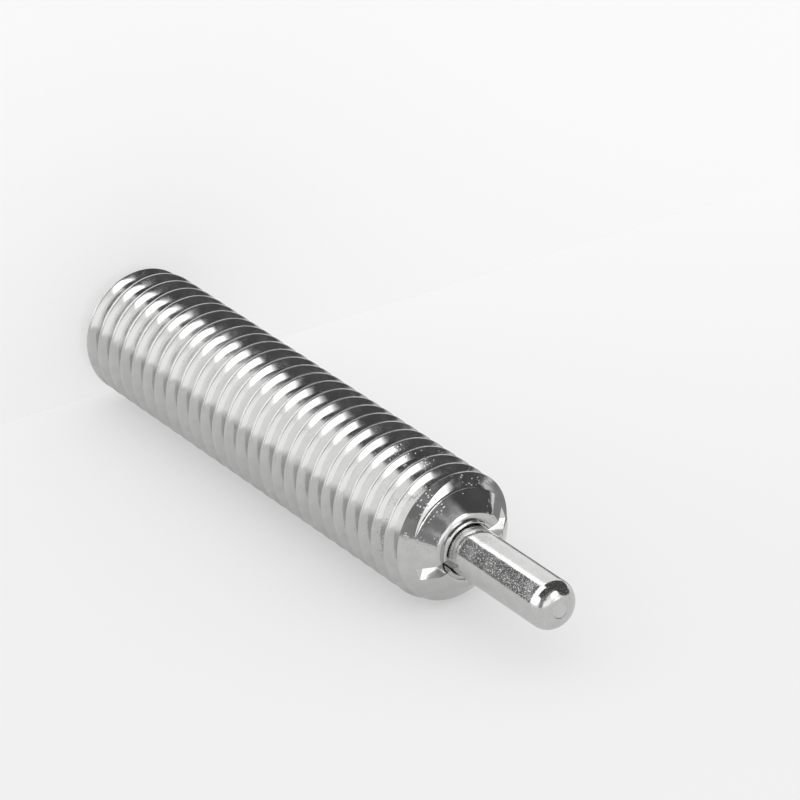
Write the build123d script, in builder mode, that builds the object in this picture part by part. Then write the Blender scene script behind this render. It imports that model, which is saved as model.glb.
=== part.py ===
"""Spring plunger with a pin, a screwdriver slot at the nose and a hexagon socket at the rear.

The sleeve stands on the flat ring of its socket end at z = 0, and +Z runs along its axis to the pin's tip.
The screwdriver slot runs along X. The fine M8 thread isn't cut here: its zone is the plain major diameter.
Lengths are in millimetres.
"""

import os
from math import cos, pi, radians, sin, tan

from build123d import *

# --- Sleeve, outside ---------------------------------------------------------------------------
thread_diameter = 8.0
body_length = 35.0
rear_ring_diameter = 5.5
rear_chamfer_height = 0.9
nose_ring_diameter = 4.5
nose_cone_angle = 45.0
nose_edge_radius = 0.2

# --- Hexagon socket at the rear ----------------------------------------------------------------
hex_across_flats = 4.0
hex_depth = 4.5
countersink_diameter = 4.8
countersink_angle = 120.0
drill_point_angle = 118.0

# --- Screwdriver slot across the nose ----------------------------------------------------------
slot_width = 0.8
slot_depth = 0.9

# --- Spring chamber ----------------------------------------------------------------------------
bore_diameter = 4.8
bore_floor_height = 8.0
lip_thickness = 1.6

# --- Pin ---------------------------------------------------------------------------------------
pin_diameter = 3.0
pin_reach = 8.5
tip_radius = 1.0
collar_length = 2.5
collar_chamfer = 0.2
stem_diameter = 2.6
stem_length = 10.0
stem_chamfer = 0.4

# --- Spring ------------------------------------------------------------------------------------
wire_diameter = 0.65
active_coils = 8
closed_coils = 1
wire_sides = 8
points_per_coil = 12

# --- Fits, all radial apart from the seat gap ----------------------------------------------------
pin_clearance = 0.05
collar_clearance = 0.08
spring_clearance = 0.2
seat_gap = 0.02

# --- Sizes that follow ---------------------------------------------------------------------------
thread_radius = thread_diameter / 2
nose_ring_radius = nose_ring_diameter / 2
nose_cone_height = (thread_radius - nose_ring_radius) / tan(radians(nose_cone_angle))
lip_underside = body_length - lip_thickness
collar_top = lip_underside - seat_gap
collar_underside = collar_top - collar_length
collar_radius = bore_diameter / 2 - collar_clearance
spring_floor = bore_floor_height + seat_gap
spring_top = collar_underside - seat_gap
coil_radius = bore_diameter / 2 - spring_clearance - wire_diameter / 2


def coil_path_points():
    """Points of the spring's centre line, rising by the wire's width in the closed end coils."""
    coils = active_coils + 2 * closed_coils
    end_pitch = wire_diameter
    rise = spring_top - spring_floor - 2 * closed_coils * end_pitch
    points = []
    for step in range(coils * points_per_coil + 1):
        turn = step / points_per_coil
        height = min(turn, closed_coils) * end_pitch
        height += min(max(turn - closed_coils, 0), active_coils) * rise / active_coils
        height += max(turn - closed_coils - active_coils, 0) * end_pitch
        angle = 2 * pi * turn
        points.append((coil_radius * cos(angle), coil_radius * sin(angle), spring_floor + height))
    return points


# --- Sleeve --------------------------------------------------------------------------------------
with BuildPart() as body:
    with BuildSketch(Plane.XZ):
        with BuildLine():
            Polyline(
                (0, 0),
                (rear_ring_diameter / 2, 0),
                (thread_radius, rear_chamfer_height),
                (thread_radius, body_length - nose_cone_height),
                (nose_ring_radius, body_length),
                (0, body_length),
                close=True,
            )
        make_face()
    revolve(axis=Axis.Z)
    nose_edge = body.edges().filter_by(GeomType.CIRCLE).group_by(Axis.Z)[-1]
    fillet(nose_edge, radius=nose_edge_radius)

    # Spring chamber, closed at the nose by the rolled lip that the pin passes through
    with BuildSketch(Plane.XY.offset(bore_floor_height)):
        Circle(bore_diameter / 2)
    extrude(amount=lip_underside - bore_floor_height, mode=Mode.SUBTRACT)
    with BuildSketch(Plane.XY.offset(lip_underside)):
        Circle(pin_diameter / 2 + pin_clearance)
    extrude(amount=lip_thickness, mode=Mode.SUBTRACT)

    # Screwdriver slot
    with BuildSketch(Plane.XY.offset(body_length - slot_depth)):
        Rectangle(thread_diameter, slot_width)
    extrude(amount=slot_depth, mode=Mode.SUBTRACT)

    # Hexagon socket: broached flats over a drilled pilot, with a countersunk mouth
    with BuildSketch():
        RegularPolygon(hex_across_flats / 2, 6, major_radius=False)
    extrude(amount=hex_depth, mode=Mode.SUBTRACT)
    with BuildSketch(Plane.XZ):
        with BuildLine():
            pilot_radius = hex_across_flats / 2
            point_height = pilot_radius / tan(radians(drill_point_angle / 2))
            Polyline((0, hex_depth), (pilot_radius, hex_depth), (0, hex_depth + point_height), close=True)
        make_face()
        with BuildLine():
            mouth_radius = countersink_diameter / 2
            Polyline((0, 0), (mouth_radius, 0), (0, mouth_radius / tan(radians(countersink_angle / 2))), close=True)
        make_face()
    revolve(axis=Axis.Z, mode=Mode.SUBTRACT)
body.part.label = "body"

# --- Pin -----------------------------------------------------------------------------------------
with BuildPart() as pin:
    with BuildSketch(Plane.XY.offset(collar_underside - stem_length)):
        Circle(stem_diameter / 2)
    extrude(amount=stem_length)
    chamfer(pin.edges().group_by(Axis.Z)[0], length=stem_chamfer)
    with BuildSketch(Plane.XY.offset(collar_underside)):
        Circle(collar_radius)
    extrude(amount=collar_length)
    chamfer(pin.edges().filter_by(GeomType.CIRCLE).sort_by(SortBy.RADIUS)[-2:], length=collar_chamfer)
    with BuildSketch(Plane.XY.offset(collar_top)):
        Circle(pin_diameter / 2)
    extrude(amount=body_length + pin_reach - collar_top)
    fillet(pin.edges().group_by(Axis.Z)[-1], radius=tip_radius)
pin.part.label = "pin"

# --- Spring --------------------------------------------------------------------------------------
# The round wire is drawn with a few flat sides, and the end coils are ground flat on their seats.
with BuildPart() as spring:
    with BuildLine() as coil_line:
        Spline(coil_path_points())
    with BuildSketch(Plane(origin=coil_line.line @ 0, x_dir=(1, 0, 0), z_dir=coil_line.line % 0)):
        RegularPolygon(wire_diameter / 2, wire_sides)
    sweep(path=coil_line.line, is_frenet=True)
    split(bisect_by=Plane.XY.offset(spring_floor), keep=Keep.TOP)
    split(bisect_by=Plane.XY.offset(spring_top), keep=Keep.BOTTOM)
spring.part.label = "spring"

os.makedirs("parts", exist_ok=True)
for piece in (body, pin, spring):
    export_step(piece.part, f"parts/{piece.part.label}.step")
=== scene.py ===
"""Looks of the spring plunger: threaded sleeve, sliding pin, coil spring, their steels and the studio.

The part stands on its socket end at z = 0, and +Z runs along its axis to the pin's tip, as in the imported
frame. Sizes are given in millimetres and turned into metres where a mesh is made.
"""

import logging
from collections.abc import Iterable
from dataclasses import dataclass, field
from enum import Enum

import bpy
import numpy as np
from mathutils import Matrix, Vector


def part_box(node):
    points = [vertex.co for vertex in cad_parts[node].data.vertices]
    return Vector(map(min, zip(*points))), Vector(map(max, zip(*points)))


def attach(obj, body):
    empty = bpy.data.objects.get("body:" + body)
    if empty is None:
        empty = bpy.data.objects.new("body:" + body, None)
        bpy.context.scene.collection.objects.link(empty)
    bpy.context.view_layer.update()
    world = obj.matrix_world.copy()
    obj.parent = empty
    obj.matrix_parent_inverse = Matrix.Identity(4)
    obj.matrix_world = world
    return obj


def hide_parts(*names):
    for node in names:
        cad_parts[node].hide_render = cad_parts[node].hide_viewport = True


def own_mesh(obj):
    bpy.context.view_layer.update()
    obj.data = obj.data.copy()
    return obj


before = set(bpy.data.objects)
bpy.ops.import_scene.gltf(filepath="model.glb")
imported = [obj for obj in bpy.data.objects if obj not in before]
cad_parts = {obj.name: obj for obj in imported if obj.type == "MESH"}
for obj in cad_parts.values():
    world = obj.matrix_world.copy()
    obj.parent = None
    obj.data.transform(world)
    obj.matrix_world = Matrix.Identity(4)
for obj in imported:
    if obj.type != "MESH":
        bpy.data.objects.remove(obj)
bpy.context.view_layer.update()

MM = 0.001
FULL_TURN = 2 * np.pi
SHARP_ANGLE = 40.0

log = logging.getLogger("spring_plunger")


class Slot(Enum):
    """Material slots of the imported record."""

    SLEEVE = "sleeve_steel"
    PIN = "pin_steel"
    SPRING = "spring_wire"


class Face(Enum):
    """Kinds of worked surface on the sleeve; the value is the material index."""

    THREAD = 0
    TURNED = 1
    MILLED = 2


# --- Mesh helpers ---------------------------------------------------------------------------------


def make_mesh(name: str, points: np.ndarray, faces: list) -> bpy.types.Mesh:
    """Makes a smooth-shaded mesh from points in millimetres.

    Args:
        name: The mesh's name.
        points: Array of shape (count, 3), in millimetres.
        faces: Integer arrays of shape (count, corners), all faces of one array having as many corners.

    Returns:
        The mesh, in metres.
    """
    mesh = bpy.data.meshes.new(name)
    polygons = [face for block in faces for face in block.tolist()]
    mesh.from_pydata((points * MM).tolist(), [], polygons)
    mesh.polygons.foreach_set("use_smooth", np.ones(len(mesh.polygons), dtype=bool))
    mesh.update()
    return mesh


def link(mesh: bpy.types.Mesh) -> bpy.types.Object:
    """Puts a mesh into the scene as an object at the origin.

    Args:
        mesh: The mesh, whose name the object takes.

    Returns:
        The object.
    """
    piece = bpy.data.objects.new(mesh.name, mesh)
    bpy.context.scene.collection.objects.link(piece)
    return piece


def grid_faces(rows: int, columns: int) -> np.ndarray:
    """Numbers the quads of a tube whose points run row by row and whose last column joins its first.

    Args:
        rows: How many rings of points the tube has.
        columns: How many points each ring has.

    Returns:
        Array of shape (faces, 4).
    """
    row, column = np.meshgrid(np.arange(rows - 1), np.arange(columns), indexing="ij")
    here = row * columns + column
    beside = row * columns + (column + 1) % columns
    return np.stack([here, beside, beside + columns, here + columns], axis=-1).reshape(-1, 4)


def fan_faces(rim: np.ndarray, centre: int) -> np.ndarray:
    """Triangles from a closed rim of point numbers to one centre point."""
    return np.stack([rim, np.roll(rim, -1), np.full_like(rim, centre)], axis=-1)


def lathe(name: str, profile: np.ndarray, columns: int) -> bpy.types.Mesh:
    """Turns a profile about Z: x = r cos(a), y = r sin(a), with the height kept.

    Args:
        name: The mesh's name.
        profile: Points (r, z) in millimetres. The first and last lie on the axis, and the solid
            is on the left of the profile's direction seen with r to the right and z up.
        columns: How many equal steps of angle make the full turn.

    Returns:
        A closed mesh with a single point at each pole.
    """
    angle = np.arange(columns) * FULL_TURN / columns
    wall = profile[1:-1]
    radius = wall[:, 0:1]
    height = np.broadcast_to(wall[:, 1:2], (len(wall), columns))
    ring = np.stack([radius * np.cos(angle), radius * np.sin(angle), height], axis=-1)
    poles = np.array([[0.0, 0.0, profile[0, 1]], [0.0, 0.0, profile[-1, 1]]])
    points = np.concatenate([ring.reshape(-1, 3), poles])
    first_rim = np.arange(columns)
    last_rim = first_rim + (len(wall) - 1) * columns
    faces = [
        grid_faces(len(wall), columns),
        fan_faces(first_rim[::-1], len(points) - 2),
        fan_faces(last_rim, len(points) - 1),
    ]
    return make_mesh(name, points, faces)


def arc(centre: tuple[float, float], radius: float, start: float, end: float, steps: int) -> np.ndarray:
    """Points (r, z) of an arc: centre + radius * (cos, sin) of angles from start to end in degrees."""
    angle = np.radians(np.linspace(start, end, steps + 1))
    return np.stack([centre[0] + radius * np.cos(angle), centre[1] + radius * np.sin(angle)], axis=-1)


def prism(name: str, outline: np.ndarray, low: float, high: float) -> bpy.types.Mesh:
    """Carries an outline straight up from one height to another and caps both ends.

    Args:
        name: The mesh's name.
        outline: Points (x, y) in millimetres, counter-clockwise.
        low: The lower height.
        high: The upper height.

    Returns:
        A closed mesh.
    """
    corners = len(outline)
    lower = np.column_stack([outline, np.full(corners, low)])
    upper = np.column_stack([outline, np.full(corners, high)])
    rim = np.arange(corners)
    caps = np.stack([rim[::-1], rim + corners])
    return make_mesh(name, np.concatenate([lower, upper]), [grid_faces(2, corners), caps])


def set_face_kind(mesh: bpy.types.Mesh, kind: Face) -> None:
    """Gives every face of a mesh the material index of one kind of worked surface."""
    index = np.full(len(mesh.polygons), kind.value, dtype=np.int32)
    mesh.polygons.foreach_set("material_index", index)


def carve(piece: bpy.types.Object, tool: bpy.types.Mesh, operation: str) -> None:
    """Combines a piece with a tool's solid and keeps the result as the piece's mesh.

    Args:
        piece: The object to change.
        tool: The closed mesh to intersect with or take away.
        operation: INTERSECT or DIFFERENCE.
    """
    cutter = link(tool)
    for index in range(len(piece.data.materials)):
        cutter.data.materials.append(piece.data.materials[index])
    modifier = piece.modifiers.new("carve", "BOOLEAN")
    modifier.operation = operation
    modifier.solver = "MANIFOLD"
    modifier.material_mode = "INDEX"
    modifier.object = cutter
    result = bpy.data.meshes.new_from_object(piece.evaluated_get(bpy.context.evaluated_depsgraph_get()))
    piece.modifiers.clear()
    old = piece.data
    piece.data = result
    result.name = piece.name
    bpy.data.meshes.remove(old)
    bpy.data.objects.remove(cutter)
    bpy.data.meshes.remove(tool)


def mark_sharp(mesh: bpy.types.Mesh) -> None:
    """Marks as sharp each edge that turns by more than SHARP_ANGLE or parts two kinds of worked surface.

    Args:
        mesh: The mesh to mark.
    """
    mesh.set_sharp_from_angle(angle=np.radians(SHARP_ANGLE))
    count = len(mesh.loops)
    edge_of_loop = np.empty(count, dtype=np.int32)
    mesh.loops.foreach_get("edge_index", edge_of_loop)
    kind = np.empty(len(mesh.polygons), dtype=np.int32)
    corners = np.empty(len(mesh.polygons), dtype=np.int32)
    mesh.polygons.foreach_get("material_index", kind)
    mesh.polygons.foreach_get("loop_total", corners)
    kind_of_loop = np.repeat(kind, corners)
    lowest = np.full(len(mesh.edges), len(Face))
    highest = np.full(len(mesh.edges), -1)
    np.minimum.at(lowest, edge_of_loop, kind_of_loop)
    np.maximum.at(highest, edge_of_loop, kind_of_loop)
    sharp = mesh.attributes.get("sharp_edge") or mesh.attributes.new("sharp_edge", "BOOLEAN", "EDGE")
    marked = np.empty(len(mesh.edges), dtype=bool)
    sharp.data.foreach_get("value", marked)
    sharp.data.foreach_set("value", marked | (lowest < highest))
    mesh.update()


# --- Shader helpers -------------------------------------------------------------------------------


class Mixed(Enum):
    """What a Mix node mixes; the value numbers its first such input and its output."""

    FLOAT = (2, 0)
    RGBA = (6, 2)


@dataclass(frozen=True)
class Spot:
    """Where a shader stands on a piece: its place, x, y, distance from Z and height, in millimetres."""

    place: bpy.types.NodeSocket
    x: bpy.types.NodeSocket
    y: bpy.types.NodeSocket
    radius: bpy.types.NodeSocket
    height: bpy.types.NodeSocket


class NodeDesk:
    """A short way to write one node tree."""

    def __init__(self, tree: bpy.types.NodeTree) -> None:
        """Clears the tree and keeps it."""
        self.tree = tree
        tree.nodes.clear()

    def node(self, kind: str, **settings: object) -> bpy.types.Node:
        """Adds a node and sets its properties.

        Args:
            kind: The node's type name.
            settings: Property names and values; a name that starts with in_ sets that input's value.

        Returns:
            The new node.
        """
        made = self.tree.nodes.new(kind)
        for key, value in settings.items():
            if key.startswith("in_"):
                made.inputs[key[3:].replace("_", " ")].default_value = value
            else:
                setattr(made, key, value)
        return made

    def feed(self, target: bpy.types.NodeSocket, source: object) -> None:
        """Links a socket to a target input, or sets the input to a plain value.

        Args:
            target: The input.
            source: A socket, a number or a colour.
        """
        if isinstance(source, bpy.types.NodeSocket):
            self.tree.links.new(source, target)
        else:
            target.default_value = source

    def feed_all(self, targets: Iterable[bpy.types.NodeSocket], sources: Iterable[object]) -> None:
        """Feeds each target input from the source at the same place in the list."""
        for target, source in zip(targets, sources):
            self.feed(target, source)

    def math(self, operation: str, *values: object) -> bpy.types.NodeSocket:
        """Works out one step of arithmetic.

        Args:
            operation: The Math node's operation.
            values: Sockets or numbers.

        Returns:
            The result.
        """
        made = self.node("ShaderNodeMath", operation=operation)
        self.feed_all(made.inputs, values)
        return made.outputs[0]

    def dot(
        self, vector: bpy.types.NodeSocket, direction: tuple[float, float, float]
    ) -> bpy.types.NodeSocket:
        """Works out the dot product of a vector and a fixed direction.

        Args:
            vector: The vector's socket.
            direction: The fixed direction.

        Returns:
            The product.
        """
        made = self.node("ShaderNodeVectorMath", operation="DOT_PRODUCT")
        self.feed_all(made.inputs, (vector, direction))
        return made.outputs["Value"]

    def ramp(
        self, value: object, low: float, high: float, start: float = 0.0, end: float = 1.0
    ) -> bpy.types.NodeSocket:
        """Makes a smooth step.

        Args:
            value: The socket that the step follows.
            low: The value at which the step starts.
            high: The value at which it ends; it may be the smaller one.
            start: The result at low and before it.
            end: The result at high and past it.

        Returns:
            The step's level.
        """
        made = self.node("ShaderNodeMapRange", interpolation_type="SMOOTHSTEP")
        names = ("Value", "From Min", "From Max", "To Min", "To Max")
        self.feed_all((made.inputs[name] for name in names), (value, low, high, start, end))
        return made.outputs[0]

    def mix(
        self, factor: object, first: object, second: object, kind: Mixed = Mixed.FLOAT
    ) -> bpy.types.NodeSocket:
        """Goes from one number or colour to another.

        Args:
            factor: 0 for the first, 1 for the second.
            first: The first number or colour.
            second: The second number or colour.
            kind: Whether they are numbers or colours.

        Returns:
            The number or colour in between.
        """
        made = self.node("ShaderNodeMix", data_type=kind.name)
        start, result = kind.value
        self.feed_all(made.inputs[:1] + made.inputs[start : start + 2], (factor, first, second))
        return made.outputs[result]

    def noise(
        self, vector: bpy.types.NodeSocket, scale: float = 1.0, detail: float = 2.0, rough: float = 0.5
    ) -> bpy.types.NodeSocket:
        """Makes a noise field.

        Args:
            vector: The place.
            scale: How many swings it has in one unit of the place.
            detail: How many finer layers it has.
            rough: How strong the finer layers are.

        Returns:
            The field's value, from 0 to 1.
        """
        made = self.node("ShaderNodeTexNoise", in_Scale=scale, in_Detail=detail, in_Roughness=rough)
        self.feed(made.inputs["Vector"], vector)
        return made.outputs["Fac"]

    def spots(
        self, vector: bpy.types.NodeSocket, scale: float, size: float, core: float = 0.4
    ) -> bpy.types.NodeSocket:
        """Makes round spots, one in each cell of a random pattern.

        Args:
            vector: The place.
            scale: How many cells there are in one unit of the place.
            size: The spots' radius, as a share of a cell.
            core: The share of that radius within which a spot is whole.

        Returns:
            1 in the middle of a spot and 0 outside it.
        """
        cells = self.node("ShaderNodeTexVoronoi", in_Scale=scale)
        self.feed(cells.inputs["Vector"], vector)
        return self.ramp(cells.outputs["Distance"], size, core * size)

    def spot(self) -> Spot:
        """Reads the Object coordinates, turned into millimetres.

        Returns:
            The place on the piece.
        """
        place = self.node("ShaderNodeTexCoord").outputs["Object"]
        scaled = self.node("ShaderNodeVectorMath", operation="SCALE")
        self.feed(scaled.inputs[0], place)
        scaled.inputs["Scale"].default_value = 1 / MM
        split = self.node("ShaderNodeSeparateXYZ")
        self.feed(split.inputs[0], scaled.outputs[0])
        x, y, height = split.outputs
        squares = self.math("ADD", self.math("MULTIPLY", x, x), self.math("MULTIPLY", y, y))
        return Spot(scaled.outputs[0], x, y, self.math("SQRT", squares), height)

    def vector(self, x: object, y: object, z: object) -> bpy.types.NodeSocket:
        """Joins three parts to a vector.

        Args:
            x: A socket or number.
            y: A socket or number.
            z: A socket or number.

        Returns:
            The vector.
        """
        made = self.node("ShaderNodeCombineXYZ")
        self.feed_all(made.inputs, (x, y, z))
        return made.outputs[0]

    def stretched(self, spot: Spot, over: float, along: float) -> bpy.types.NodeSocket:
        """The place with x and y times one factor and the height times another."""
        factors = ((spot.x, over), (spot.y, over), (spot.height, along))
        return self.vector(*(self.math("MULTIPLY", way, factor) for way, factor in factors))

    def bump(
        self, height: bpy.types.NodeSocket, depth: float, below: bpy.types.NodeSocket | None = None
    ) -> bpy.types.NodeSocket:
        """Bends the normal by a height field.

        Args:
            height: The field, from 0 to 1.
            depth: Its full swing in millimetres.
            below: The normal that is bent, or None for the surface's own.

        Returns:
            The bent normal.
        """
        made = self.node("ShaderNodeBump", in_Strength=1.0, in_Distance=depth * MM)
        self.feed(made.inputs["Height"], height)
        if below is not None:
            self.feed(made.inputs["Normal"], below)
        return made.outputs[0]


# --- Finishes -------------------------------------------------------------------------------------


class Lay(Enum):
    """The way in which the tool marks run; the value says what they follow besides the turn about Z."""

    BY_RADIUS = "radius"
    BY_HEIGHT = "height"


# Levels of a noise field between which the thing that it steers comes in
CLUSTER_STEP = (0.45, 0.6)
ROUGHNESS_STEP = (0.3, 0.75)
TINT_STEP = (0.25, 0.8)


@dataclass(frozen=True)
class Steel:
    """Stainless steel with a worked surface.

    Waves, marks, grain, dents and pits are bump of a few micrometres, and the gloss drifts in slow clouds.
    Depths, radii and heights are in millimetres, and scales count swings in a millimetre. A depth, size or
    share of 0 leaves its feature out.
    """

    name: str
    tint: tuple[float, float, float] = (0.66, 0.66, 0.655)
    tint_drift: float = 0.92
    roughness: float = 0.1
    roughness_drift: tuple[float, float] = (0.7, 1.4)
    cloud_scale: float = 1.3
    wave_scale: float = 0.8
    wave_depth: float = 0.018
    lay: Lay = Lay.BY_RADIUS
    mark_scale: float = 16.0
    mark_depth: float = 0.0006
    mark_drift: tuple[float, float] = (0.3, 0.17)
    grain_scale: tuple[float, float] = (9.0, 22.0)
    grain_depth: float = 0.0
    dent_scale: float = 5.0
    dent_size: float = 0.0
    dent_depth: float = 0.012
    dent_clusters: float = 0.6
    dents_from: tuple[float, float] = (25.0, 33.0)
    speckle_scale: float = 8.0
    speckle_share: float = 0.0
    speckle_fade: float = 0.12
    speckle_roughness: float = 0.5
    satin_above: float = 0.0
    satin_fade: float = 0.025
    satin_roughness: float = 0.22
    faced_within: float = 0.0
    faced_fade: float = 0.06
    faced_roughness: float = 0.42
    pit_scale: float = 9.0
    pit_depth: float = 0.006

    def marked(self, desk: NodeDesk, spot: Spot) -> bpy.types.NodeSocket:
        """Bends the normal by slow waves and, over them, by fine tool marks.

        Args:
            desk: The material's node tree.
            spot: The place on the piece.

        Returns:
            The bent normal.
        """
        round_drift, climb = self.mark_drift
        across = spot.radius if self.lay is Lay.BY_RADIUS else spot.height
        slow_x, slow_y = (desk.math("MULTIPLY", way, round_drift) for way in (spot.x, spot.y))
        slow_y = desk.math("ADD", slow_y, desk.math("MULTIPLY", spot.height, climb))
        strokes = desk.vector(slow_x, slow_y, desk.math("MULTIPLY", across, self.mark_scale))
        waves = desk.bump(desk.noise(spot.place, self.wave_scale, detail=1.0), self.wave_depth)
        return desk.bump(desk.noise(strokes, detail=3.0, rough=0.6), self.mark_depth, waves)

    def dents(self, desk: NodeDesk, spot: Spot) -> bpy.types.NodeSocket:
        """Small round dents that gather in clusters and only lie high on the piece.

        Args:
            desk: The material's node tree.
            spot: The place on the piece.

        Returns:
            The dents' height field.
        """
        dents = desk.spots(spot.place, self.dent_scale, self.dent_size)
        clusters = desk.ramp(desk.noise(spot.place, self.dent_clusters, detail=1.0), *CLUSTER_STEP)
        where = desk.math("MULTIPLY", clusters, desk.ramp(spot.height, *self.dents_from))
        return desk.math("MULTIPLY", dents, where)

    def gloss(self, desk: NodeDesk, spot: Spot, clouds: bpy.types.NodeSocket) -> bpy.types.NodeSocket:
        """The roughness: slow clouds, then fine speckle, then a satin outer zone.

        Args:
            desk: The material's node tree.
            spot: The place on the piece.
            clouds: The slow noise field.

        Returns:
            The roughness.
        """
        least, most = self.roughness_drift
        rough = desk.ramp(clouds, *ROUGHNESS_STEP, self.roughness * least, self.roughness * most)
        if self.speckle_share > 0:
            edge = 1 - self.speckle_share
            grains = desk.noise(spot.place, self.speckle_scale, rough=0.6)
            speckle = desk.ramp(grains, edge, edge + self.speckle_fade)
            rough = desk.mix(speckle, rough, self.speckle_roughness)
        if self.satin_above > 0:
            satin = desk.ramp(spot.radius, self.satin_above, self.satin_above + self.satin_fade)
            rough = desk.mix(satin, rough, self.satin_roughness)
        return rough

    def material(self) -> bpy.types.Material:
        """Builds the material.

        Returns:
            The material.
        """
        made = bpy.data.materials.new(self.name)
        made.use_nodes = True
        desk = NodeDesk(made.node_tree)
        spot = desk.spot()
        clouds = desk.noise(spot.place, self.cloud_scale, detail=3.0)
        darker = tuple(self.tint_drift * channel for channel in self.tint)
        drift = desk.ramp(clouds, *TINT_STEP)
        colour = desk.mix(drift, (*darker, 1.0), (*self.tint, 1.0), Mixed.RGBA)
        rough = self.gloss(desk, spot, clouds)
        normal = self.marked(desk, spot)
        if self.grain_depth > 0:
            grain = desk.noise(desk.stretched(spot, *self.grain_scale), rough=0.6)
            normal = desk.bump(grain, self.grain_depth, normal)
        if self.dent_size > 0:
            normal = desk.bump(self.dents(desk, spot), self.dent_depth, normal)
        if self.faced_within > 0:
            faced = desk.ramp(spot.radius, self.faced_within, self.faced_within - self.faced_fade)
            rough = desk.mix(faced, rough, self.faced_roughness)
            pits = desk.math("MULTIPLY", desk.noise(spot.place, self.pit_scale, detail=1.0), faced)
            normal = desk.bump(pits, self.pit_depth, normal)
        shader = desk.node("ShaderNodeBsdfPrincipled", in_Metallic=1.0)
        names = ("Roughness", "Base Color", "Normal")
        desk.feed_all((shader.inputs[name] for name in names), (rough, colour, normal))
        out = desk.node("ShaderNodeOutputMaterial")
        desk.feed(out.inputs["Surface"], shader.outputs[0])
        return made


THREAD_STEEL = Steel(
    "thread_steel",
    tint=(0.62, 0.62, 0.615),
    roughness=0.16,
    satin_above=3.94,
    dent_size=0.34,
)
TURNED_STEEL = Steel("turned_steel", roughness=0.11, dent_size=0.34, grain_depth=0.0012)
# Milled faces (slot and hex socket) get a paler tint than the other steels: painted light that makes them
# show bright.
MILLED_STEEL_PAINTED_LIGHT = Steel("milled_steel_painted_light", tint=(0.8, 0.8, 0.795), roughness=0.13)
GROUND_STEEL = Steel(
    "ground_steel",
    roughness=0.1,
    lay=Lay.BY_HEIGHT,
    grain_scale=(11.0, 12.0),
    grain_depth=0.003,
    speckle_scale=13.0,
    speckle_share=0.46,
    speckle_roughness=0.34,
    faced_within=0.56,
)
SPRING_STEEL = Steel("spring_steel", tint=(0.5, 0.5, 0.49), roughness=0.25)


# --- Sleeve ---------------------------------------------------------------------------------------


@dataclass(frozen=True)
class ThreadForm:
    """ISO metric thread: 60 degree flanks, a crest flat of an eighth of the pitch and a rounded root.

    A crest stands at height phase where the turn about Z is phase_angle, in degrees.
    """

    pitch: float = 1.25
    major_radius: float = 4.0
    half_angle: float = 30.0
    crest_rounding: float = 0.1
    root_rounding: float = 0.18
    flank_bulge: float = 0.012
    crest_steps: int = 4
    flank_steps: int = 5
    root_steps: int = 6
    phase: float = 32.19
    phase_angle: float = -50.0

    def profile(self) -> np.ndarray:
        """Draws one pitch of the outline, from a crest's centre to just before the next crest's centre.

        Each crest corner is an arc that turns by 60 degrees, and the root is an arc that turns by 120.
        A rolled flank bulges: at share s of its way it stands 4 s (1 - s) times the bulge off its chord.

        Returns:
            Points (radius, height) in millimetres.
        """
        half_flat = self.pitch / 8 / 2
        steep = 90 - self.half_angle
        lean = np.tan(np.radians(self.half_angle))
        corner_centre = (self.major_radius - self.crest_rounding, half_flat - self.crest_rounding * lean)
        corner = arc(corner_centre, self.crest_rounding, 0, steep, self.crest_steps)
        depth_to_point = (self.pitch / 2 - half_flat) / lean
        root_centre = (self.major_radius - depth_to_point + 2 * self.root_rounding, self.pitch / 2)
        root = arc(root_centre, self.root_rounding, 180 + steep, 180 - steep, self.root_steps)
        share = np.linspace(0, 1, self.flank_steps + 1)[1:-1, None]
        outward = np.array([np.cos(np.radians(steep)), np.sin(np.radians(steep))])
        bulge = 4 * share * (1 - share) * self.flank_bulge * outward
        flank = corner[-1] + share * (root[0] - corner[-1]) + bulge
        slope = np.concatenate([corner, flank])
        return np.concatenate([slope, root, slope[::-1] * (1, -1) + (0, self.pitch)])


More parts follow.
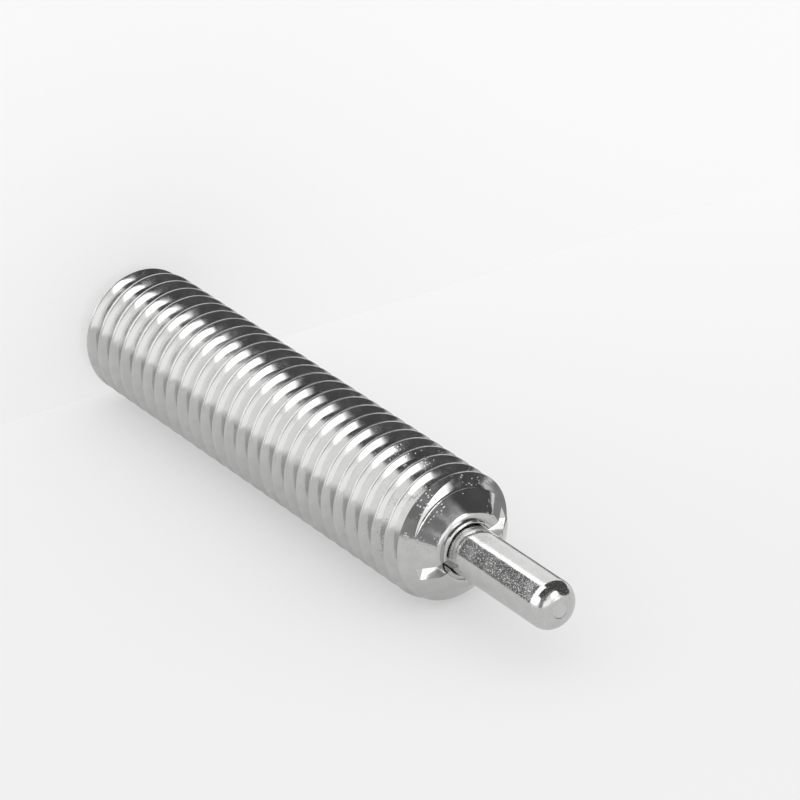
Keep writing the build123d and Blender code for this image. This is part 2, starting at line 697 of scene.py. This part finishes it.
@dataclass
class Sleeve:
    """Threaded sleeve with a chamfered socket end, a coned nose, a screwdriver slot and a spring chamber.

    The rod runs on past both ends by the overrun, and a cutter runs on past the surface that it cuts by past.
    """

    thread: ThreadForm = field(default_factory=ThreadForm)
    columns: int = 96
    lathe_columns: int = 256
    overrun: float = 2.5
    run_out_radius: float = 4.6
    rear_ring_radius: float = 2.75
    rear_chamfer_height: float = 0.9
    nose_ring_radius: float = 2.25
    nose_cone_height: float = 1.75
    nose_edge_radius: float = 0.45
    nose_edge_turn: float = 45.0
    nose_edge_steps: int = 9
    hole_radius: float = 1.55
    hole_bead: float = 0.11
    bead_end: float = 50.0
    bead_steps: int = 8
    groove_radius: float = 1.79
    groove_depth: float = 0.05
    face_radius: float = 1.86
    lip_thickness: float = 1.6
    chamber_radius: float = 2.4
    chamber_floor: float = 8.0
    countersink_radius: float = 2.4
    countersink_angle: float = 120.0
    hex_across_flats: float = 4.0
    hex_depth: float = 4.5
    pilot_radius: float = 1.98
    drill_point_angle: float = 118.0
    slot_width: float = 0.8
    slot_depth: float = 0.9
    past: float = 1.0

    def __post_init__(self) -> None:
        """Takes the sleeve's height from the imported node."""
        low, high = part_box("body")
        self.low = low.z / MM
        self.high = high.z / MM

    def threaded_rod(self) -> bpy.types.Mesh:
        """The endless thread, a little longer than the sleeve at both ends.

        Row i of the profile rises by one pitch in a full turn: r = r_i, z = z_i + pitch * a / 360 degrees.
        The last column joins the first one row-block higher, and each end is closed by a fan.

        Returns:
            A closed mesh.
        """
        form = self.thread
        outline = form.profile()
        per_pitch = len(outline)
        turns = int(np.ceil((self.high - self.low + 2 * self.overrun) / form.pitch)) + 2
        crest_at_zero = form.phase - form.pitch * np.radians(form.phase_angle) / FULL_TURN
        pitches_below = np.ceil((crest_at_zero - self.low + self.overrun) / form.pitch + 1)
        first = crest_at_zero - form.pitch * pitches_below
        heights = first + (outline[:, 1] + form.pitch * np.arange(turns)[:, None]).ravel()
        radii = np.tile(outline[:, 0], turns)
        angle = np.arange(self.columns) * FULL_TURN / self.columns
        x = radii[:, None] * np.cos(angle)
        y = radii[:, None] * np.sin(angle)
        z = heights[:, None] + form.pitch * angle / FULL_TURN
        points = np.stack([x, y, z], axis=-1).reshape(-1, 3)
        rows = len(radii)
        row, column = np.meshgrid(np.arange(rows - 1), np.arange(self.columns), indexing="ij")
        lift = np.where(column == self.columns - 1, per_pitch, 0)
        here = row * self.columns + column
        beside = (row + lift) * self.columns + (column + 1) % self.columns
        quads = np.stack([here, beside, beside + self.columns, here + self.columns], axis=-1)
        quads = quads[row + lift + 1 < rows]
        around = np.arange(self.columns)
        block = np.arange(1, per_pitch + 1) * self.columns
        last = (rows - 1) * self.columns
        low_rim = np.concatenate([around, block[::-1]])
        high_rim = np.concatenate([last + around, last + self.columns - 1 - block])
        ends = np.array([[0, 0, z.min() - self.past], [0, 0, z.max() + self.past]])
        points = np.concatenate([points, ends])
        faces = [quads, fan_faces(low_rim[::-1], len(points) - 2), fan_faces(high_rim, len(points) - 1)]
        return make_mesh("sleeve", points, faces)

    def envelope(self) -> bpy.types.Mesh:
        """The turned form: chamber, nose hole, nose face, both cones and the drilled and countersunk pilot.

        The cones run on past the thread's crests, so that only they and the flat faces trim the thread.

        Returns:
            A closed mesh.
        """
        top = self.high
        rear_slope = self.rear_chamfer_height / (self.thread.major_radius - self.rear_ring_radius)
        nose_slope = self.nose_cone_height / (self.thread.major_radius - self.nose_ring_radius)
        out = self.run_out_radius
        lip = top - self.lip_thickness
        turn_back = self.nose_edge_radius * np.tan(np.radians(self.nose_edge_turn / 2))
        edge_centre = (self.nose_ring_radius - turn_back, top - self.nose_edge_radius)
        edge_end = 90 - self.nose_edge_turn
        bead_centre = (self.hole_radius + self.hole_bead, top - self.hole_bead)
        sink_lean = np.tan(np.radians(self.countersink_angle / 2))
        sink_depth = (self.countersink_radius - self.pilot_radius) / sink_lean
        drill_rise = self.pilot_radius / np.tan(np.radians(self.drill_point_angle / 2))
        profile = [
            [[0.0, self.chamber_floor]],
            [[self.chamber_radius, self.chamber_floor], [self.chamber_radius, lip]],
            [[self.hole_radius, lip]],
            arc(bead_centre, self.hole_bead, 180, self.bead_end, self.bead_steps),
            [[self.groove_radius, top - self.groove_depth], [self.face_radius, top]],
            arc(edge_centre, self.nose_edge_radius, 90, edge_end, self.nose_edge_steps),
            [[out, top - (out - self.nose_ring_radius) * nose_slope]],
            [[out, (out - self.rear_ring_radius) * rear_slope]],
            [[self.rear_ring_radius, self.low], [self.countersink_radius, self.low]],
            [[self.pilot_radius, self.low + sink_depth], [self.pilot_radius, self.low + self.hex_depth]],
            [[0.0, self.low + self.hex_depth + drill_rise]],
        ]
        outline = np.concatenate([np.asarray(part, dtype=float) for part in profile])
        return lathe("turned_form", outline[::-1], self.lathe_columns)

    def slot_blade(self) -> bpy.types.Mesh:
        """Makes the cutter of the screwdriver slot, a plain block along X.

        Returns:
            A closed mesh.
        """
        reach, half = self.run_out_radius + self.past, self.slot_width / 2
        outline = np.array([[-reach, -half], [reach, -half], [reach, half], [-reach, half]])
        return prism("slot_blade", outline, self.high - self.slot_depth, self.high + self.past)

    def hexagon(self) -> bpy.types.Mesh:
        """Makes the broach of the hexagon socket: corner k stands at across / sqrt(3) and 60 k degrees.

        Returns:
            A closed mesh.
        """
        angle = np.arange(6) * FULL_TURN / 6
        outline = self.hex_across_flats / np.sqrt(3) * np.stack([np.cos(angle), np.sin(angle)], axis=-1)
        return prism("hexagon", outline, self.low - self.past, self.low + self.hex_depth)

    def build(self, finishes: dict[Face, bpy.types.Material]) -> bpy.types.Object:
        """Cuts the sleeve out of the threaded rod and dresses it.

        Args:
            finishes: A material for each kind of worked surface.

        Returns:
            The finished piece.
        """
        rod = self.threaded_rod()
        set_face_kind(rod, Face.THREAD)
        piece = link(rod)
        for kind in Face:
            piece.data.materials.append(finishes[kind])
        tools = (
            (self.envelope(), Face.TURNED, "INTERSECT"),
            (self.slot_blade(), Face.MILLED, "DIFFERENCE"),
            (self.hexagon(), Face.MILLED, "DIFFERENCE"),
        )
        for tool, kind, operation in tools:
            set_face_kind(tool, kind)
            carve(piece, tool, operation)
        mark_sharp(piece.data)
        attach(piece, "barrel")
        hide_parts("body")
        return piece


# --- Pin ------------------------------------------------------------------------------------------


@dataclass
class Pin:
    """Turned pin with a round-edged tip, a stop collar and a stem inside the spring."""

    columns: int = 192
    radius: float = 1.5
    tip_rounding: float = 1.0
    tip_steps: int = 20
    dish_step: float = 0.05
    dish_depth: float = 0.03
    dish_steps: int = 6
    collar_radius: float = 2.32
    collar_length: float = 2.5
    collar_chamfer: float = 0.2
    stem_radius: float = 1.3
    stem_length: float = 10.0
    stem_chamfer: float = 0.4

    def profile(self) -> np.ndarray:
        """Draws half the pin's outline, from the stem's end up to the tip, whose edge is a quarter circle.

        The tip's end face is a small step down and a shallow dish: at radius r it lies depth (1 - (r / R)^2)
        below the step, with R the face's radius.

        Returns:
            Points (radius, height) in millimetres.
        """
        low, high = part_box("pin")
        bottom, tip = low.z / MM, high.z / MM
        collar_low = bottom + self.stem_length
        collar_high = collar_low + self.collar_length
        cut = self.collar_chamfer
        tip_centre = (self.radius - self.tip_rounding, tip - self.tip_rounding)
        face_radius = self.radius - self.tip_rounding
        dish_radius = np.linspace(face_radius - self.dish_step, 0, self.dish_steps + 1)
        dish_height = tip - self.dish_step - self.dish_depth * (1 - (dish_radius / face_radius) ** 2)
        parts = [
            [[0.0, bottom], [self.stem_radius - self.stem_chamfer, bottom]],
            [[self.stem_radius, bottom + self.stem_chamfer], [self.stem_radius, collar_low]],
            [[self.collar_radius - cut, collar_low], [self.collar_radius, collar_low + cut]],
            [[self.collar_radius, collar_high - cut], [self.collar_radius - cut, collar_high]],
            [[self.radius, collar_high]],
            arc(tip_centre, self.tip_rounding, 0, 90, self.tip_steps),
            np.stack([dish_radius, dish_height], axis=-1),
        ]
        return np.concatenate([np.asarray(part, dtype=float) for part in parts])

    def build(self, finish: bpy.types.Material) -> bpy.types.Object:
        """Turns the pin and dresses it.

        Args:
            finish: The pin's material.

        Returns:
            The finished piece.
        """
        mesh = lathe("pin_turned", self.profile(), self.columns)
        mesh.materials.append(finish)
        mark_sharp(mesh)
        piece = link(mesh)
        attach(piece, "plunger")
        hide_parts("pin")
        return piece


# --- Spring ---------------------------------------------------------------------------------------


@dataclass
class Spring:
    """Compression spring of round wire with closed, ground end coils."""

    wire_radius: float = 0.325
    coil_radius: float = 1.875
    active_coils: int = 8
    closed_coils: int = 1
    steps_per_coil: int = 64
    sides: int = 16
    squashed_share: float = 0.69

    def build(self, finish: bpy.types.Material) -> bpy.types.Object:
        """Winds the spring and dresses it.

        The centre line is a helix of radius R whose height rises by one wire width in each closed coil and
        evenly in between. The wire's circle stands in the plane of the radius and the axis:
        r = R + w cos(b), z = height + w sin(b), and the heights are cut off at both seats.

        Args:
            finish: The wire's material.

        Returns:
            The finished piece.
        """
        low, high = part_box("spring")
        floor, top = low.z / MM, high.z / MM
        coils = self.active_coils + 2 * self.closed_coils
        turn = np.linspace(0, coils, coils * self.steps_per_coil + 1)
        closed_rise = 2 * self.wire_radius * self.closed_coils
        knots = [0, self.closed_coils, coils - self.closed_coils, coils]
        levels = [floor, floor + closed_rise, top - closed_rise, top]
        height = np.interp(turn, knots, levels)
        around = np.arange(self.sides) * FULL_TURN / self.sides
        radius = self.coil_radius + self.wire_radius * np.cos(around)
        angle = (turn * FULL_TURN)[:, None]
        z = np.clip(height[:, None] + self.wire_radius * np.sin(around), floor, top)
        points = np.stack([radius * np.cos(angle), radius * np.sin(angle), z], axis=-1).reshape(-1, 3)
        ends = np.stack([points[: self.sides].mean(0), points[-self.sides :].mean(0)])
        rim = np.arange(self.sides)
        faces = [
            grid_faces(len(turn), self.sides)[:, ::-1],
            fan_faces(rim, len(points)),
            fan_faces((rim + len(points) - self.sides)[::-1], len(points) + 1),
        ]
        mesh = make_mesh("spring_coil", np.concatenate([points, ends]), faces)
        mesh.materials.append(finish)
        piece = link(mesh)
        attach(piece, "barrel")
        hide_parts("spring")
        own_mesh(piece)
        return piece


# --- Studio ---------------------------------------------------------------------------------------


@dataclass(frozen=True)
class Patch:
    """A rounded rectangle of the room as the steel mirrors it, with a soft edge.

    Azimuth runs from the nose's direction towards the part's right, and elevation rises from the side sheet.
    The half width, half height and both angles are in degrees.
    """

    azimuth: float
    elevation: float
    half_width: float
    half_height: float
    level: float
    edge: float


@dataclass(frozen=True)
class Flag:
    """A strip of grey card bent round the part's axis, out of the camera's sight, that the steel mirrors.

    The turn is counted from the room's up towards the part's left, in degrees. Lengths are in millimetres.
    """

    name: str
    radius: float
    turn: tuple[float, float]
    height: tuple[float, float]
    level: float
    steps: int = 24


@dataclass(frozen=True)
class Studio:
    """Pale floor, pale sheet beside the part, and a tent of light with dark gaps that the steel mirrors."""

    floor_half: float = 600.0
    backdrop: float = 0.93
    # The floor and side sheet get paler along the painted light direction: a painted gradient of light.
    painted_light_tones: tuple[float, float] = (0.885, 0.965)
    painted_light_direction: tuple[float, float, float] = (-0.55, -0.75, -0.37)
    painted_light_span: tuple[float, float] = (-20.0, 20.0)
    glow_share: float = 0.4
    # The steel sees the sheets darker by this share: painted shade in its reflections.
    painted_mirror_shade: float = 0.84
    sheet_distance: float = 4.0
    lift: tuple[float, float, float] = (-0.342, -0.940, 0.0)
    tent_level: float = 1.05
    table_level: float = 0.72
    horizon: tuple[float, float] = (-0.10, -0.02)
    squareness: float = 4.0
    fade_beyond: float = 4.0
    fade_within: float = 2.0
    least_ahead: float = 0.01
    patches: tuple[Patch, ...] = (
        Patch(-115, 50, 45, 42, 1.95, 0.25),
        Patch(15, 64, 36, 17, 0.22, 0.25),
        Patch(65, 26, 29, 25, 0.07, 0.16),
        Patch(-44, 33, 17, 19, 0.22, 0.2),
        Patch(-52, 8, 12, 15, 0.28, 0.35),
        Patch(-20, 8, 18, 15, 1.35, 0.25),
        Patch(14, 31, 12.5, 15, 2.7, 0.2),
        Patch(21, 3, 7, 6, 2.2, 0.3),
    )
    flags: tuple[Flag, ...] = (
        Flag("flag_far", 65.0, (8, 92), (-34, -10), 0.17),
        Flag("flag_right", 11.4, (-112, -80), (-25, 36), 0.28),
        Flag("flag_above", 30.0, (-64, 5), (-16, 6), 0.12),
        Flag("flag_over_right", 60.0, (-80, 4), (8, 76), 0.08),
        Flag("flag_over_left", 60.0, (4, 50), (36, 76), 0.08),
    )

    def axes(self) -> tuple[Vector, Vector, Vector]:
        """Works out the room's axes.

        Returns:
            Ahead of the nose, up from the side sheet, and to the part's left.
        """
        up = Vector(self.lift).normalized()
        ahead = Vector((0, 0, 1))
        return ahead, up, ahead.cross(up)

    def toward(self, azimuth: float, elevation: float) -> Vector:
        """Turns angles of the room into a direction.

        Args:
            azimuth: From the nose's direction towards the part's right, in degrees.
            elevation: Up from the side sheet, in degrees.

        Returns:
            The direction.
        """
        ahead, up, left = self.axes()
        turn, climb = np.radians([azimuth, elevation])
        return (ahead * np.cos(turn) - left * np.sin(turn)) * np.cos(climb) + up * np.sin(climb)

    def sheet_material(self, name: str, see_through_back: bool) -> bpy.types.Material:
        """Makes a matt pale surface with painted light: its tone rises towards white along the painted light
        direction.

        A little light of its own lifts its shadows, and the steel mirrors it somewhat darker than it shows,
        which is painted shade in its reflections.

        Args:
            name: The material's name.
            see_through_back: Whether the surface lets light and sight pass from behind.

        Returns:
            The material.
        """
        made = bpy.data.materials.new(name)
        made.use_nodes = True
        desk = NodeDesk(made.node_tree)
        away = desk.dot(desk.spot().place, self.painted_light_direction)
        # Painted light: the sheet's tone grows paler along a fixed direction.
        painted_tone = desk.ramp(away, *self.painted_light_span, *self.painted_light_tones)
        mirrored = desk.node("ShaderNodeLightPath").outputs["Is Glossy Ray"]
        # Painted shade: glossy rays see the sheet darker than the camera does.
        painted_tone = desk.mix(mirrored, painted_tone, desk.math("MULTIPLY", painted_tone, self.painted_mirror_shade))
        matt, glow = desk.node("ShaderNodeBsdfDiffuse"), desk.node("ShaderNodeEmission")
        desk.feed(matt.inputs["Color"], painted_tone)
        desk.feed(glow.inputs["Color"], painted_tone)
        lit = desk.node("ShaderNodeMixShader", in_Fac=self.glow_share)
        desk.feed(lit.inputs[1], matt.outputs[0])
        desk.feed(lit.inputs[2], glow.outputs[0])
        surface = lit.outputs[0]
        if see_through_back:
            clear = desk.node("ShaderNodeBsdfTransparent")
            choose = desk.node("ShaderNodeMixShader")
            desk.feed(choose.inputs[0], desk.node("ShaderNodeNewGeometry").outputs["Backfacing"])
            desk.feed(choose.inputs[1], surface)
            desk.feed(choose.inputs[2], clear.outputs[0])
            surface = choose.outputs[0]
        out = desk.node("ShaderNodeOutputMaterial")
        desk.feed(out.inputs["Surface"], surface)
        return made

    def sheet(
        self, name: str, centre: Vector, across: Vector, along: Vector, see_through_back: bool
    ) -> bpy.types.Object:
        """Lays a square sheet that faces across x along.

        Neither sheet dims the other, so that the join between them hardly shows.

        Args:
            name: The sheet's name.
            centre: Its middle, in millimetres.
            across: One side's half, as a vector in millimetres.
            along: The other side's half, as a vector in millimetres.
            see_through_back: Whether it is clear from behind.

        Returns:
            The sheet.
        """
        signs = ((-1, -1), (1, -1), (1, 1), (-1, 1))
        corners = np.array([centre + across * a + along * b for a, b in signs])
        mesh = make_mesh(name, corners, [np.array([[0, 1, 2, 3]])])
        mesh.materials.append(self.sheet_material(name, see_through_back))
        piece = link(mesh)
        piece.visible_diffuse = False
        piece.visible_shadow = False
        return piece

    def hang(self, flag: Flag) -> None:
        """Hangs a flag: radius r, turn t and height z give r (up cos t + left sin t) + ahead z.

        Args:
            flag: The strip to hang.
        """
        ahead, up, left = (np.array(axis) for axis in self.axes())
        turn = np.radians(np.linspace(*flag.turn, flag.steps + 1))[:, None]
        arc_points = flag.radius * (np.cos(turn) * up + np.sin(turn) * left)
        points = np.concatenate([arc_points + ahead * height for height in flag.height])
        first = np.arange(flag.steps)
        upper = first + flag.steps + 1
        mesh = make_mesh(flag.name, points, [np.stack([first, first + 1, upper + 1, upper], axis=-1)])
        grey = bpy.data.materials.new(flag.name)
        grey.use_nodes = True
        desk = NodeDesk(grey.node_tree)
        glow = desk.node("ShaderNodeEmission", in_Strength=flag.level)
        out = desk.node("ShaderNodeOutputMaterial")
        desk.feed(out.inputs["Surface"], glow.outputs[0])
        mesh.materials.append(grey)
        strip = link(mesh)
        for kind in ("camera", "diffuse", "transmission", "volume_scatter", "shadow"):
            setattr(strip, f"visible_{kind}", False)

    def mirrored_room(self, desk: NodeDesk) -> bpy.types.NodeSocket:
        """Lays each patch in turn over a pale tent above and a table below.

        With offsets a and b from a patch's middle, as shares of its half sizes, a^4 + b^4 is 1 on its edge.

        Args:
            desk: The world's node tree.

        Returns:
            The brightness that the steel mirrors in each direction.
        """
        look = desk.node("ShaderNodeTexCoord").outputs["Generated"]
        up = self.axes()[1]
        level = desk.ramp(desk.dot(look, tuple(up)), *self.horizon, self.table_level, self.tent_level)
        for patch in self.patches:
            middle = self.toward(patch.azimuth, patch.elevation)
            side = up.cross(middle).normalized()
            ahead_share = desk.math("MAXIMUM", desk.dot(look, tuple(middle)), self.least_ahead)
            reach = []
            for direction, half in ((side, patch.half_width), (middle.cross(side), patch.half_height)):
                offset = desk.math("DIVIDE", desk.dot(look, tuple(direction)), ahead_share)
                power = desk.math("POWER", desk.math("ABSOLUTE", offset), self.squareness)
                whole = float(np.tan(np.radians(half)) ** self.squareness)
                reach.append(desk.math("DIVIDE", power, whole))
            end, start = 1 + self.fade_beyond * patch.edge, 1 - self.fade_within * patch.edge
            inside = desk.ramp(desk.math("ADD", *reach), end, start)
            level = desk.mix(inside, level, patch.level)
        return level

    def room(self) -> None:
        """Makes the world: even light for the sheets, a backdrop, and the tent that the steel mirrors."""
        world = bpy.data.worlds.new("studio_room")
        world.use_nodes = True
        bpy.context.scene.world = world
        desk = NodeDesk(world.node_tree)
        rays = desk.node("ShaderNodeLightPath")
        level = desk.mix(rays.outputs["Is Glossy Ray"], 1.0, self.mirrored_room(desk))
        level = desk.mix(rays.outputs["Is Camera Ray"], level, self.backdrop)
        background = desk.node("ShaderNodeBackground")
        background.inputs["Color"].default_value = (1, 1, 1, 1)
        desk.feed(background.inputs["Strength"], level)
        out = desk.node("ShaderNodeOutputWorld")
        desk.feed(out.inputs["Surface"], background.outputs[0])

    def build(self) -> None:
        """Puts up the whole studio."""
        half = self.floor_half
        floor = self.sheet("floor", Vector((0, 0, 0)), Vector((half, 0, 0)), Vector((0, half, 0)), False)
        floor.visible_glossy = False
        ahead, up, left = self.axes()
        self.sheet("side_sheet", up * -self.sheet_distance, ahead * half, -left * half, True)
        for flag in self.flags:
            self.hang(flag)
        self.room()


def facing(back: Vector, up: Vector, place: Vector) -> Matrix:
    """A transform whose +Z points along back and whose +Y is as near as it can be to up.

    Args:
        back: The direction that local +Z takes.
        up: The direction that local +Y leans to.
        place: The position, in millimetres.

    Returns:
        The transform, in metres.
    """
    right = up.cross(back).normalized()
    true_up = back.cross(right)
    turned = Matrix((right, true_up, back)).transposed().to_4x4()
    turned.translation = place * MM
    return turned


@dataclass(frozen=True)
class Viewpoint:
    """The camera, aimed at a point near the part's middle and rolled about its line of sight.

    The aim, distance and clip ends are in millimetres, and the angles in degrees.
    """

    aim: tuple[float, float, float] = (-4.73, -1.54, 22.57)
    azimuth: float = 28.22
    elevation: float = 46.84
    roll: float = -122.97
    distance: float = 306.33
    lens: float = 238.6
    clip: tuple[float, float] = (10.0, 4000.0)

    def build(self) -> None:
        """Makes the camera and gives it to the scene.

        At azimuth A and elevation E the camera stands along (sin A cos E, -cos A cos E, sin E) from its aim.
        """
        turn, climb, roll = np.radians([self.azimuth, self.elevation, self.roll])
        back = Vector((np.sin(turn) * np.cos(climb), -np.cos(turn) * np.cos(climb), np.sin(climb)))
        level = Vector((np.cos(turn), np.sin(turn), 0.0))
        upright = back.cross(level)
        up = upright * np.cos(roll) + level * np.sin(roll)
        camera = bpy.data.objects.new("camera", bpy.data.cameras.new("camera"))
        camera.data.lens = self.lens
        camera.data.clip_start, camera.data.clip_end = (end * MM for end in self.clip)
        camera.matrix_world = facing(back, up, Vector(self.aim) + back * self.distance)
        bpy.context.scene.collection.objects.link(camera)
        bpy.context.scene.camera = camera


def main() -> None:
    """Builds every piece, the studio and the camera."""
    logging.basicConfig(level=logging.INFO, format="%(message)s")
    bpy.context.scene.view_settings.view_transform = "Standard"
    worked = {Face.THREAD: THREAD_STEEL, Face.TURNED: TURNED_STEEL, Face.MILLED: MILLED_STEEL_PAINTED_LIGHT}
    pieces = (
        Sleeve().build({kind: steel.material() for kind, steel in worked.items()}),
        Pin().build(GROUND_STEEL.material()),
        Spring().build(SPRING_STEEL.material()),
    )
    for piece in pieces:
        log.info("%s: %d faces", piece.name, len(piece.data.polygons))
    Studio().build()
    Viewpoint().build()


if __name__ == "__main__":
    main()
